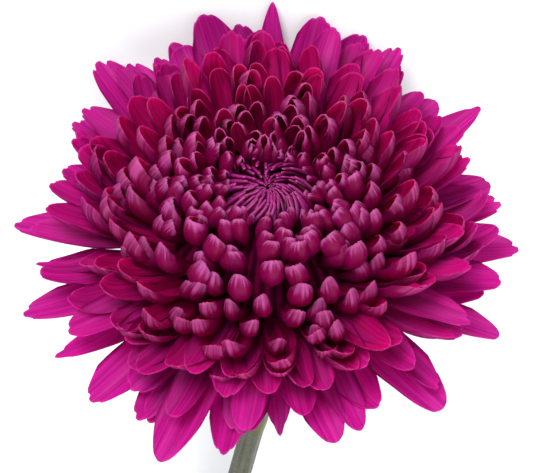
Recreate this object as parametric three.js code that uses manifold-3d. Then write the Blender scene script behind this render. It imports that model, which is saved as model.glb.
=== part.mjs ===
// A cut cremon chrysanthemum lying on a surface: one large bloom, the green cup of bracts
// under it, and a ribbed stem that is cut off at its lower end.
// Millimetres, +Z up. The origin is on the surface, under the middle of the whole flower: the bloom
// is at +Y, facing +Y and a little upward, and the stem runs down from it along -Y.
import * as THREE from 'three';
import { mergeVertices } from 'three/addons/utils/BufferGeometryUtils.js';
import Module from 'manifold-3d';

const wasm = await Module();
wasm.setup();
const { degToRad, clamp, lerp, smoothstep } = THREE.MathUtils;

// Pose: where the receptacle is that the florets grow from, how the axis of the bloom rises, and
// how the florets that reach the surface ease down onto it
const RECEPTACLE_PLACE = [0.62, 57.2, 41.5];
const AXIS_RISE = degToRad(20);
const FLOOR_GAP = 0.05;
const FLOOR_SOFTNESS = 5;

// Bloom: its florets follow each other by the golden angle round the dome of the receptacle
const GOLDEN_ANGLE = Math.PI * (3 - Math.sqrt(5));
const RECEPTACLE_RADIUS = 9;
const RECEPTACLE_DOME = 5;
const EYE_ORDER = 48;

// Eye: the dome that its florets lie over. A floret starts on the dome's rim, at the angle from the
// axis given for the innermost and the outermost floret, ends nearer to its top, and turns a little
// round the axis on its way. It is a ridge that is sunk into the dome.
const EYE_COUNT = 30;
const EYE_RADIUS = 10.6;
const EYE_RISE = 5;
const EYE_HEIGHT = 17.5;
const EYE_START = { first: 60, last: 115 };
const EYE_END = { first: 4, last: 40 };
const EYE_SWIRL = { angle: 22, stray: 10 };
const EYE_INNERMOST = 0.35;
const EYE_TILT = 0.4;
const EYE_LIFT = 1.9;
const EYE_SUNK = 0.6;
const EYE_RIDGE = 0.7;
const EYE_HALF = { first: 1.15, last: 2.15, tip: 0.28 };
const EYE_SECTIONS = [0, 0.34, 0.68];

// Core of the head, as radius and height over the receptacle
const CORE_PROFILE = [
  [0, 0.4], [9.2, 0.2], [15, 0.9], [22, 1.1], [28, 2.2], [31, 5.5], [30, 10],
  [26, 16], [21, 20], [15, 22], [10.6, 18.4], [6, 21.2], [0, 22.2],
];
const CORE_SIDES = 16;
const CORE_LEAN = 0.32;
const CORE_UPRIGHT = 8;

// Cup of bracts under the bloom
const CUP_PROFILE = [
  [0, -9.5], [2.4, -9.5], [4.6, -7.4], [7.2, -3.4], [8.6, -1.2], [8.6, -0.3], [0, -0.3],
];
const CUP_SIDES = 24;
const BRACT_ROWS = [
  { count: 13, root: -8.2, tip: -5.2, reach: 8.2, half: 1.9 },
  { count: 15, root: -6.6, tip: -3.6, reach: 9.6, half: 2.0 },
  { count: 17, root: -4.6, tip: -2.3, reach: 10.6, half: 2.0 },
];
const BRACT_THICKNESS = 0.9;
const BRACT_SUNK = 0.4;
const BRACT_SECTIONS = [{ at: 0, width: 0.8 }, { at: 0.55, width: 1 }];
const CUP_FLARE = { radius: 5.5, slope: 0.35 };

// Stem: it starts under the cup and its slope eases towards the cut end, which rests on the
// surface. Past its upper node it leans to the left.
const STEM_START = 9.8;
const STEM_END_RISE = degToRad(6);
const STEM_RADIUS = 2.9;
const STEM_PRESS = 0.15;
const NECK_RADIUS = 2.1;
const NECK_LENGTH = 50;
const NODE_PLACE = 50;
const NODE_SOFTNESS = 12;
const NODE_LEAN = degToRad(12);
const RIB_COUNT = 6;
const RIB_DEPTH = 0.18;
const STEM_SIDES = 24;
const STEM_STEPS = 34;
const CUT_BEVEL = 0.5;
const LINE_DIVISIONS = 400;
const SCARS = [
  { along: 59, azimuth: 60, length: 5.5, height: 0.9 },
  { along: 98, azimuth: 200, length: 6, height: 0.8 },
  { along: 138, azimuth: 330, length: 6, height: 0.8 },
];

// Ray florets from the innermost (age 0) to the outermost (age 1): how far from the axis and how
// high over the receptacle the tip reaches, how the blade bends and how its tip hooks inward, half
// its flat width, how far it is rolled each way, where it is widest, and how it leans away from the
// surface. Angles are degrees.
const FLORET_KEYS = {
  age: [0, 0.08, 0.16, 0.25, 0.33, 0.42, 0.50, 0.60, 0.70, 0.80, 0.90, 1],
  reach: [11, 13.4, 16.2, 19.2, 22.2, 27.5, 33.5, 40.5, 46.5, 52, 57, 61],
  height: [26.8, 28.6, 29.4, 29.2, 28.4, 26.6, 25.5, 24, 21.5, 17, 10, 2],
  bend: [-30, -34, -38, -42, -44, -44, -42, -36, -28, -16, -4, 8],
  hook: [-56, -62, -68, -72, -74, -72, -64, -52, -40, -28, -16, -6],
  half: [4.6, 5.0, 5.4, 5.7, 5.9, 6.0, 6.0, 6.0, 6.0, 6.0, 6.0, 6.0],
  cup: [150, 146, 140, 132, 120, 106, 94, 80, 66, 52, 38, 26],
  widest: [0.78, 0.78, 0.78, 0.78, 0.78, 0.76, 0.74, 0.72, 0.69, 0.66, 0.64, 0.62],
  lean: [0, 1, 3, 6, 9, 13, 16, 18, 19, 19, 18, 17],
};
const RAY_COUNT = 225;

// The outermost florets one by one, round the bloom: azimuth, length, half width and roll. They
// stand at two ages in turn, so that neighbours lie over and under each other.
const OUTER_RING = [
  [89, 69, 4.6, 0], [77, 59, 6.2, 4], [67, 59, 6.0, -4], [55, 55, 5.6, 6], [41, 50, 5.4, -8],
  [30, 56, 5.8, 6], [14, 49, 6.2, -6], [5, 50, 6.2, 8], [356, 53, 6.6, 0], [344, 50, 6.8, -6],
  [334, 53, 5.6, 4], [328, 46, 6.0, 0], [312, 53, 7.0, -4], [292, 49, 5.6, 8], [283, 40, 5.4, 0],
  [273, 45, 5.0, 20], [263, 44, 6.6, 4], [248, 58, 6.8, -6], [240, 48, 5.8, 8], [233, 45, 5.8, 0],
  [226, 52, 6.4, -8], [215, 53, 5.2, 10], [200, 54, 5.8, 0], [191, 49, 5.2, -10], [178, 54, 6.4, 4],
  [164, 46, 6.0, 0], [148, 51, 6.2, -6], [135, 57, 6.6, 8], [127, 54, 5.6, -4], [122, 50, 5.2, 0],
  [114, 56, 5.2, 14], [106, 60, 7.0, 0], [97, 60, 5.6, -6],
];
const RING_AGES = [0.97, 0.92];

// How far the florets stray from the keys, in the keys' own units or as shares. The ring's tips
// stay where the ring puts them.
const STRAY = {
  azimuth: 5, age: 0.014, length: 0.07, aim: 3, bend: 9, hook: 14, half: 0.08, cup: 0.12, roll: 12, side: 6,
};

// Shape of a blade, as shares of its length, of its flat width or of its roll. The claw at its root
// is narrow and rolled nearly shut, and the blade opens from there.
const BLADE_THICKNESS = 1.0;
const THINNEST_SHARE = 0.55;
const FULL_HALF_WIDTH = 6.4;
const CLAW_SHARE = 0.24;
const CLAW_END = 0.25;
const WIDENING = 1.15;
const TIP_NARROWING = 0.3;
const CLAW_ROLL = degToRad(80);
const CLAW_OPEN = 0.4;
const LARGEST_ROLL = degToRad(160);
const ROLL_AT = { claw: 0.8, tip: 1.15, start: 0.4, end: 0.9 };
const HOOK_START = 0.54;
const HOOK_END = 0.94;
const HOOK_AIM = 0.32;
const HOOK_LENGTH = 2;
const UNDER_LENGTH = 0.045;

// A blade is drawn with four corners. Past the first of these rolls its inner face is raised, and at
// the second it is level with the rims of a tube. Its side corners go no further round than the third.
const FACE_RAISED = { from: degToRad(85), to: degToRad(125) };
const SIDE_CORNER = degToRad(95);

// Where a floret's solid starts inside the core, as a share of its length at three ages, and the
// places of its sections between there and the tip. The outermost florets start at the cup and run
// out along the underside of the core.
const ROOT_KEYS = { inner: 0.62, middle: 0.40, outer: 0.27, middleAge: 0.4 };
const INNER_SECTIONS = [0, 0.6];
const OUTER_SECTIONS = [0.04, 0.5, 0.86];
const OUTER_AGE = 0.88;
const STEPS = 48;

const SURFACE_BLOCK = { side: 400, depth: 20 };
const COLOURS = { bloom: 0xa60a6e, involucre: 0x5f7040, stem: 0x737662 };
const ROUGHNESS = 0.6;

// Large factors whose products have fractions that look random
const NOISE = { floret: 12.9898, channel: 78.233, size: 43758.5453 };
const CHANNELS = [
  'azimuth', 'length', 'aim', 'bend', 'hook', 'half', 'cup', 'roll', 'side', 'age', 'swirl',
];

const smooth = (x) => smoothstep(x, 0, 1);

// A repeatable draw from -1 to 1 for floret k, from a list of its own for each channel
function draw(k, channel) {
  const x = Math.sin(k * NOISE.floret + (CHANNELS.indexOf(channel) + 1) * NOISE.channel) * NOISE.size;
  return (x - Math.floor(x)) * 2 - 1;
}

// The value of one key at an age, in straight steps between the columns
function keyed(name, age) {
  const ages = FLORET_KEYS.age;
  const next = Math.max(1, ages.findIndex((known) => age <= known));
  const share = clamp((age - ages[next - 1]) / (ages[next] - ages[next - 1]), 0, 1);
  return lerp(FLORET_KEYS[name][next - 1], FLORET_KEYS[name][next], share);
}

// The lying bloom's own directions: across it, towards the surface, and along its axis
const ACROSS = new THREE.Vector3(1, 0, 0);
const UNDER = new THREE.Vector3(0, Math.sin(AXIS_RISE), -Math.cos(AXIS_RISE));
const AXIS = new THREE.Vector3(0, Math.cos(AXIS_RISE), Math.sin(AXIS_RISE));
const RECEPTACLE = new THREE.Vector3(...RECEPTACLE_PLACE);

const radialAt = (azimuth) => ACROSS.clone()
  .multiplyScalar(Math.cos(azimuth)).addScaledVector(UNDER, Math.sin(azimuth));
const fromAxis = (radius, azimuth, height) => RECEPTACLE.clone()
  .addScaledVector(radialAt(azimuth), radius).addScaledVector(AXIS, height);

// Eases a height so that no midline goes under FLOOR_GAP. Gives the new height and the slope.
function settle(z) {
  const over = z - FLOOR_GAP + FLOOR_SOFTNESS;
  if (over >= 2 * FLOOR_SOFTNESS) return [z, 1];
  if (over <= 0) return [FLOOR_GAP, 0];
  return [FLOOR_GAP + over ** 2 / (4 * FLOOR_SOFTNESS), over / (2 * FLOOR_SOFTNESS)];
}

// What sets one ray floret apart from the next. The aim is the angle from the axis to the tip as
// seen from the root, and stray scales the draws that move the tip.
function floretAt(k, age, azimuth, stray) {
  const reachAge = clamp(age + STRAY.age * stray * draw(k, 'age'), 0, 1);
  const order = (EYE_ORDER + k) / (EYE_ORDER + RAY_COUNT);
  const rootRadius = RECEPTACLE_RADIUS * Math.sqrt(order);
  const rootHeight = RECEPTACLE_DOME * (1 - order);
  const out = keyed('reach', reachAge) - rootRadius;
  const up = keyed('height', reachAge) - rootHeight;
  const under = Math.sin(azimuth);
  const bend = degToRad(keyed('bend', age) + STRAY.bend * stray * draw(k, 'bend'));
  const hook = degToRad(keyed('hook', age) + STRAY.hook * stray * draw(k, 'hook'));
  const lean = degToRad(keyed('lean', age) * under - STRAY.aim * stray * draw(k, 'aim'));
  const stretch = (1 + STRAY.length * draw(k, 'length')) * (1 + UNDER_LENGTH * under * age);
  return {
    age, azimuth, rootRadius, rootHeight, bend, hook,
    aim: Math.atan2(out, up) - lean - HOOK_AIM * hook,
    length: Math.hypot(out, up) * stretch * arcOverChord(bend) + HOOK_LENGTH * Math.abs(hook),
    half: keyed('half', age) * (1 + STRAY.half * draw(k, 'half')),
    cup: degToRad(keyed('cup', age) * (1 + STRAY.cup * draw(k, 'cup'))),
    widest: keyed('widest', age),
    roll: degToRad(STRAY.roll * draw(k, 'roll')),
    side: degToRad(STRAY.side * stray * draw(k, 'side')),
  };
}

// How much longer a gently bent line is than the straight way between its ends
const arcOverChord = (bend) => 1 + bend ** 2 / 24;

function ruleFloret(k) {
  const age = (k + 0.5) / RAY_COUNT;
  return floretAt(k, age, k * GOLDEN_ANGLE + degToRad(STRAY.azimuth) * draw(k, 'azimuth'), 1);
}

function ringFloret(i) {
  const [azimuth, length, half, roll] = OUTER_RING[i];
  const k = RAY_COUNT - OUTER_RING.length + i;
  const floret = floretAt(k, RING_AGES[i % RING_AGES.length], degToRad(azimuth), 0);
  return { ...floret, length, half, roll: degToRad(roll) };
}

// The midline of a floret in small steps: its place, the normal of its inner face and its side
function midline(f) {
  const radial = radialAt(f.azimuth);
  const around = radialAt(f.azimuth + Math.PI / 2);
  const at = fromAxis(f.rootRadius, f.azimuth, f.rootHeight);
  const line = [];
  for (let i = 0; i <= STEPS; i++) {
    const s = i / STEPS;
    const hooked = smooth((s - HOOK_START) / (HOOK_END - HOOK_START));
    const angle = f.aim + f.bend * (s - 0.5) + f.hook * hooked;
    const lateral = 2 * f.side * s;
    const way = radial.clone().multiplyScalar(Math.sin(angle) * Math.cos(lateral))
      .addScaledVector(around, Math.sin(lateral))
      .addScaledVector(AXIS, Math.cos(angle) * Math.cos(lateral));
    const face = radial.clone().multiplyScalar(-Math.cos(angle)).addScaledVector(AXIS, Math.sin(angle));
    if (i > 0) at.addScaledVector(way, f.length / STEPS);
    const [height, slope] = settle(at.z);
    way.setZ(way.z * slope).normalize();
    face.addScaledVector(way, -face.dot(way)).normalize();
    const side = new THREE.Vector3().crossVectors(face, way);
    face.applyAxisAngle(way, -f.roll);
    side.applyAxisAngle(way, -f.roll);
    line.push({ place: new THREE.Vector3(at.x, at.y, height), face, side });
  }
  return line;
}

function alongLine(line, s) {
  const x = clamp(s, 0, 1) * STEPS;
  const i = Math.min(Math.floor(x), STEPS - 1);
  const mix = (name) => line[i][name].clone().lerp(line[i + 1][name], x - i);
  return { place: mix('place'), face: mix('face'), side: mix('side') };
}

// The section of a floret is an arc of its flat width, rolled up by an angle each way. Its four
// corners are the left edge, the back, the right edge and the inner face, and where the arc
// closes to a tube, the inner face is up at its rims.
function section(f, line, s) {
  const widening = smooth((s - CLAW_END) / (f.widest - CLAW_END)) ** WIDENING;
  const narrowing = 1 - TIP_NARROWING * clamp((s - f.widest) / (1 - f.widest), 0, 1) ** 2;
  const width = f.half * lerp(CLAW_SHARE, 1, widening) * narrowing;
  const opening = smooth((s - ROLL_AT.start) / (ROLL_AT.end - ROLL_AT.start));
  const inClaw = CLAW_ROLL * (1 - smooth(s / CLAW_OPEN));
  const rolled = Math.min(f.cup * lerp(ROLL_AT.claw, ROLL_AT.tip, opening) + inClaw, LARGEST_ROLL);
  const closed = smooth((rolled - FACE_RAISED.from) / (FACE_RAISED.to - FACE_RAISED.from));
  const edge = Math.min(rolled, SIDE_CORNER);
  const radius = width / rolled;
  const thickness = BLADE_THICKNESS * lerp(THINNEST_SHARE, 1, f.half / FULL_HALF_WIDTH);
  const rim = Math.max(radius * (1 - Math.cos(rolled)), thickness);
  const { place, face, side } = alongLine(line, s);
  const point = (a, b) => place.clone().addScaledVector(side, a).addScaledVector(face, b);
  return [
    point(-radius * Math.sin(edge), radius * (1 - Math.cos(edge))),
    point(0, -thickness / 2),
    point(radius * Math.sin(edge), radius * (1 - Math.cos(edge))),
    point(0, lerp(thickness / 2, rim, closed)),
  ];
}

// A closed solid from rings of points that end in one tip point. The diagonals of neighbouring
// faces mirror each other, so the back and the inner face of a thin blade are split alike.
function spike(rings, tip) {
  const n = rings[0].length;
  const points = rings.flat().concat([tip]);
  const faces = [];
  for (let i = 2; i < n; i++) faces.push(0, i, i - 1);
  for (let r = 0; r < rings.length - 1; r++) {
    for (let i = 0; i < n; i++) {
      const a = r * n + i;
      const b = r * n + (i + 1) % n;
      if (i % 2 === 0) faces.push(a, b, b + n, a, b + n, a + n);
      else faces.push(a, b, a + n, b, b + n, a + n);
    }
  }
  const last = points.length - 1 - n;
  for (let i = 0; i < n; i++) faces.push(last + i, last + (i + 1) % n, points.length - 1);
  return solidFrom(points, faces);
}

// Six times the volume that the triangles enclose, negative where they face inward
function signedVolume(points, faces) {
  const cross = new THREE.Vector3();
  let sum = 0;
  for (let i = 0; i < faces.length; i += 3) {
    sum += points[faces[i]].dot(cross.crossVectors(points[faces[i + 1]], points[faces[i + 2]]));
  }
  return sum;
}

function solidFrom(points, faces) {
  const triVerts = new Uint32Array(faces);
  if (signedVolume(points, faces) < 0) triVerts.reverse();
  const vertProperties = new Float32Array(points.flatMap((p) => [p.x, p.y, p.z]));
  return new wasm.Manifold(new wasm.Mesh({ numProp: 3, vertProperties, triVerts }));
}

function solidOf(geometry) {
  const bare = geometry.clone();
  bare.deleteAttribute('normal');
  bare.deleteAttribute('uv');
  const merged = mergeVertices(bare);
  const place = merged.getAttribute('position');
  const pointAt = (_, i) => new THREE.Vector3().fromBufferAttribute(place, i);
  const points = Array.from({ length: place.count }, pointAt);
  const faces = Array.from(merged.index.array).filter((_, i, all) => {
    const t = i - (i % 3);
    return all[t] !== all[t + 1] && all[t + 1] !== all[t + 2] && all[t] !== all[t + 2];
  });
  return solidFrom(points, faces);
}

// Joins solids two by two, so that each join stays small
function joined(solids) {
  let list = solids;
  while (list.length > 1) {
    const next = [];
    for (let i = 0; i + 1 < list.length; i += 2) next.push(list[i].add(list[i + 1]));
    if (list.length % 2 === 1) next.push(list.at(-1));
    list = next;
  }
  return list[0];
}

// Takes off whatever lies under the surface, which leaves a small flat where a floret presses on it
function trimmedAtSurface(solid) {
  const { side, depth } = SURFACE_BLOCK;
  const below = new THREE.BoxGeometry(side, side, depth).translate(0, 0, -depth / 2);
  return solid.subtract(solidOf(below));
}

// The largest connected skin of a solid as a geometry, so no scrap and no sealed hollow is left
function geometryOf(solid) {
  const { vertProperties, triVerts } = solid.getMesh();
  const points = [];
  for (let i = 0; i < vertProperties.length; i += 3) {
    points.push(new THREE.Vector3().fromArray(vertProperties, i));
  }
  const owner = points.map((_, i) => i);
  const find = (i) => {
    while (owner[i] !== i) i = owner[i] = owner[owner[i]];
    return i;
  };
  for (let i = 0; i < triVerts.length; i += 3) {
    owner[find(triVerts[i])] = find(triVerts[i + 1]);
    owner[find(triVerts[i + 1])] = find(triVerts[i + 2]);
  }
  const skins = new Map();
  for (let i = 0; i < triVerts.length; i += 3) {
    const root = find(triVerts[i]);
    if (!skins.has(root)) skins.set(root, []);
    skins.get(root).push(triVerts[i], triVerts[i + 1], triVerts[i + 2]);
  }
  const larger = (a, b) => (signedVolume(points, b) > signedVolume(points, a) ? b : a);
  const largest = [...skins.values()].reduce(larger);
  const geometry = new THREE.BufferGeometry();
  geometry.setAttribute('position', new THREE.BufferAttribute(new Float32Array(vertProperties), 3));
  geometry.setIndex(largest);
  return geometry;
}

function raySolid(k) {
  const rule = RAY_COUNT - OUTER_RING.length;
  const f = k < rule ? ruleFloret(k) : ringFloret(k - rule);
  const line = midline(f);
  const { inner, middle, outer, middleAge } = ROOT_KEYS;
  const root = f.age < middleAge
    ? lerp(inner, middle, f.age / middleAge)
    : lerp(middle, outer, (f.age - middleAge) / (1 - middleAge));
  const sections = f.age < OUTER_AGE ? INNER_SECTIONS.map((s) => lerp(root, 1, s)) : OUTER_SECTIONS;
  return spike(sections.map((s) => section(f, line, s)), alongLine(line, 1).place);
}

// A floret of the eye is a slim three-sided ridge that lies over the dome of the eye, from its
// rim to near its middle, turning a little round the axis
function eyeSolid(j) {
  const share = (j + 0.5) / EYE_COUNT;
  const start = j * GOLDEN_ANGLE;
  const outer = degToRad(lerp(EYE_START.first, EYE_START.last, share));
  const inner = degToRad(lerp(EYE_END.first, EYE_END.last, share));
  const swirl = degToRad(EYE_SWIRL.angle + EYE_SWIRL.stray * draw(j, 'swirl'));
  const radius = EYE_RADIUS * lerp(EYE_INNERMOST, 1, Math.sqrt(share));
  const path = (s, lift, turn) => {
    const tilt = lerp(outer, inner, s);
    const rise = lift + EYE_LIFT * share;
    const height = EYE_HEIGHT + (EYE_RISE + rise) * Math.cos(tilt) * lerp(1 - EYE_TILT, 1, share);
    return fromAxis((radius + rise) * Math.sin(tilt), start + swirl * s ** 2 + turn, height);
  };
  const rings = EYE_SECTIONS.map((s) => {
    const half = lerp(EYE_HALF.first, EYE_HALF.last, share) * lerp(1, EYE_HALF.tip, s ** 2);
    const turn = half / Math.max(half, radius * Math.sin(lerp(outer, inner, s)));
    return [path(s, -EYE_SUNK, -turn), path(s, EYE_RIDGE, 0), path(s, -EYE_SUNK, turn)];
  });
  return spike(rings, path(1, 0, 0));
}

// Turns a lathe about its own Y into the bloom's axis
function onAxis(profile, sides) {
  const lathe = new THREE.LatheGeometry(profile.map(([r, h]) => new THREE.Vector2(r, h)), sides);
  const upward = UNDER.clone().negate();
  return [lathe, new THREE.Matrix4().makeBasis(ACROSS, AXIS, upward).setPosition(RECEPTACLE)];
}

// The core of the head leans as the florets do: up on the side of the surface, down on the other
function coreSolid() {
  const [lathe, basis] = onAxis(CORE_PROFILE, CORE_SIDES);
  const place = lathe.getAttribute('position');
  for (let i = 0; i < place.count; i++) {
    const radius = Math.hypot(place.getX(i), place.getZ(i));
    const under = radius > 0 ? -place.getZ(i) / radius : 0;
    place.setY(i, place.getY(i) + CORE_LEAN * Math.max(0, radius - CORE_UPRIGHT) * under);
  }
  return solidOf(lathe.applyMatrix4(basis));
}

function makeBloom() {
  const rays = Array.from({ length: RAY_COUNT }, (_, k) => raySolid(k));
  const eye = Array.from({ length: EYE_COUNT }, (_, j) => eyeSolid(j));
  return geometryOf(trimmedAtSurface(joined([coreSolid(), ...eye, ...rays])));
}

// A bract is a short pointed blade that lies against the cup and parts from it at its tip
function bractSolid(row, i, turn) {
  const azimuth = (i + turn) * 2 * Math.PI / row.count;
  const start = CUP_FLARE.radius + CUP_FLARE.slope * row.root;
  const rings = BRACT_SECTIONS.map(({ at, width }) => {
    const height = lerp(row.root, row.tip, at);
    const radius = lerp(start, row.reach, at) - BRACT_SUNK;
    const wide = row.half / row.reach * width;
    return [
      fromAxis(radius - BRACT_THICKNESS, azimuth - wide, height),
      fromAxis(radius + BRACT_THICKNESS / 2, azimuth, height - BRACT_THICKNESS / 2),
      fromAxis(radius - BRACT_THICKNESS, azimuth + wide, height),
      fromAxis(radius - BRACT_THICKNESS, azimuth, height + BRACT_THICKNESS / 2),
    ];
  });
  return spike(rings, fromAxis(row.reach, azimuth, row.tip));
}

function makeInvolucre() {
  const [lathe, basis] = onAxis(CUP_PROFILE, CUP_SIDES);
  const bracts = [];
  BRACT_ROWS.forEach((row, r) => {
    for (let i = 0; i < row.count; i++) bracts.push(bractSolid(row, i, r / 2));
  });
  return geometryOf(joined([solidOf(lathe.applyMatrix4(basis)), ...bracts]));
}

// The stem's line is an arc in the upright plane of the bloom's axis, from the axis's own slope at
// the cup to STEM_END_RISE where it meets the surface, with the lean to the left added to it
const STEM_TOP = fromAxis(0, 0, -STEM_START);
const STEM_DROP = STEM_TOP.z - (STEM_RADIUS - STEM_PRESS) * Math.cos(STEM_END_RISE);
const STEM_ARC = STEM_DROP / (Math.cos(STEM_END_RISE) - Math.cos(AXIS_RISE));
const STEM_LENGTH = STEM_ARC * (AXIS_RISE - STEM_END_RISE);

function leanAt(along) {
  const past = along + STEM_START - NODE_PLACE;
  const start = Math.hypot(STEM_START - NODE_PLACE, NODE_SOFTNESS) + STEM_START - NODE_PLACE;
  return Math.tan(NODE_LEAN) * (Math.hypot(past, NODE_SOFTNESS) + past - start) / 2;
}

class StemLine extends THREE.Curve {
  getPoint(t, target = new THREE.Vector3()) {
    const rise = lerp(AXIS_RISE, STEM_END_RISE, t);
    return target.set(
      STEM_TOP.x - leanAt(t * STEM_LENGTH),
      STEM_TOP.y - STEM_ARC * (Math.sin(AXIS_RISE) - Math.sin(rise)),
      STEM_TOP.z - STEM_ARC * (Math.cos(rise) - Math.cos(AXIS_RISE)),
    );
  }
}

// The radius of the stem: slimmer at the neck, with shallow ribs and a low swelling at each scar of
// a removed leaf
function stemRadius(along, azimuth) {
  let radius = lerp(NECK_RADIUS, STEM_RADIUS, smooth(along / NECK_LENGTH));
  radius += RIB_DEPTH * Math.cos(RIB_COUNT * azimuth);
  for (const scar of SCARS) {
    const near = 1 - Math.abs(along + STEM_START - scar.along) / scar.length;
    const facing = Math.cos(azimuth - degToRad(scar.azimuth));
    radius += scar.height * smooth(near) * smooth(facing);
  }
  return radius;
}

// The ring of points round the stem's line at a share of its length
function stemRing(line, t, shrink) {
  const centre = line.getPointAt(t);
  const way = line.getTangentAt(t);
  const side = new THREE.Vector3().crossVectors(way, UNDER).normalize();
  const top = new THREE.Vector3().crossVectors(side, way);
  return Array.from({ length: STEM_SIDES }, (_, i) => {
    const azimuth = i / STEM_SIDES * 2 * Math.PI;
    const radius = stemRadius(t * STEM_LENGTH, azimuth) - shrink;
    return centre.clone()
      .addScaledVector(side, radius * Math.cos(azimuth))
      .addScaledVector(top, radius * Math.sin(azimuth));
  });
}

// The stem is its rings joined from the neck to the cut end, which is bevelled
function makeStem() {
  const line = new StemLine();
  line.arcLengthDivisions = LINE_DIVISIONS;
  const straight = 1 - CUT_BEVEL / STEM_LENGTH;
  const rings = [];
  for (let i = 0; i <= STEM_STEPS; i++) rings.push(stemRing(line, i / STEM_STEPS * straight, 0));
  rings.push(stemRing(line, 1, CUT_BEVEL));
  const points = [line.getPointAt(0), ...rings.flat(), line.getPointAt(1)];
  const faces = [];
  const n = STEM_SIDES;
  const last = points.length - 1;
  for (let i = 0; i < n; i++) {
    const j = (i + 1) % n;
    faces.push(0, 1 + j, 1 + i, last, last - n + i, last - n + j);
    for (let r = 0; r < rings.length - 1; r++) {
      const a = 1 + r * n;
      faces.push(a + i, a + j, a + n + j, a + i, a + n + j, a + n + i);
    }
  }
  return geometryOf(trimmedAtSurface(solidFrom(points, faces)));
}

const group = new THREE.Group();
const makers = { bloom: makeBloom, involucre: makeInvolucre, stem: makeStem };
for (const [name, make] of Object.entries(makers)) {
  const material = new THREE.MeshStandardMaterial({
    color: COLOURS[name], roughness: ROUGHNESS, metalness: 0,
  });
  const mesh = new THREE.Mesh(make(), material);
  mesh.name = name;
  group.add(mesh);
}

export default group;
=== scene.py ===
"""The looks of a cut cremon chrysanthemum that lies on a surface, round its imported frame.

The bloom's florets, the green cup of bracts and the stem are fine surfaces that stand where the
frame's solids are. Lengths in the tables are millimetres and angles are degrees; every mesh is
in metres.
"""
import math

import bpy
import numpy as np
from mathutils import Matrix, Vector


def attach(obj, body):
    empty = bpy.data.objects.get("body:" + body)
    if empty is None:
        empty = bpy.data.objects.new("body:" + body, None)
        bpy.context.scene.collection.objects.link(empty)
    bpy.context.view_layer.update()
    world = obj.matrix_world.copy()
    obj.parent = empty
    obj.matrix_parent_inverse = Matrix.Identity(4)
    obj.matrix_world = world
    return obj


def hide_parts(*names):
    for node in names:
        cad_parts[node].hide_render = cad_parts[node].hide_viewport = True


bl_info = {
    "name": "Cremon Chrysanthemum",
    "version": (1, 0, 0),
    "blender": (4, 5, 0),
    "location": "3D View > Sidebar > Chrysanthemum",
    "description": "Makes the florets, bracts and stem of a cut chrysanthemum round its packed frame",
    "category": "Add Mesh",
}

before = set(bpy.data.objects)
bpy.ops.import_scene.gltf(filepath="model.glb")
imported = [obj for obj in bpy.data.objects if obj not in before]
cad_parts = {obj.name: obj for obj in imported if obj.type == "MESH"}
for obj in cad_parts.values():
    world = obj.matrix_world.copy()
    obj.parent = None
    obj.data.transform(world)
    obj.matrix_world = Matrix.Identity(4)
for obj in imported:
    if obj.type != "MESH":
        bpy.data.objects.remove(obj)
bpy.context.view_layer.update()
MM = 0.001

# Pose of the bloom: the place of its receptacle, how far its axis rises from the surface, and the
# directions across it, towards the surface and along its axis
RECEPTACLE = np.array([0.62, 57.2, 41.5])
AXIS_RISE = math.radians(20)
ACROSS = np.array([1.0, 0.0, 0.0])
UNDER = np.array([0.0, math.sin(AXIS_RISE), -math.cos(AXIS_RISE)])
AXIS = np.array([0.0, math.cos(AXIS_RISE), math.sin(AXIS_RISE)])

# Receptacle: its radius, the height of its dome, and the turn from one floret to the next
RECEPTACLE_RADIUS = 9.0
RECEPTACLE_DOME = 5.0
GOLDEN_ANGLE = math.pi * (3 - math.sqrt(5))

# Florets near the surface ease down to a gap over it, and the younger ones lie on the older
FLOOR_GAP = 0.3
FLOOR_SOFTNESS = 5.0
FLOOR_PILE = 30.0

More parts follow.
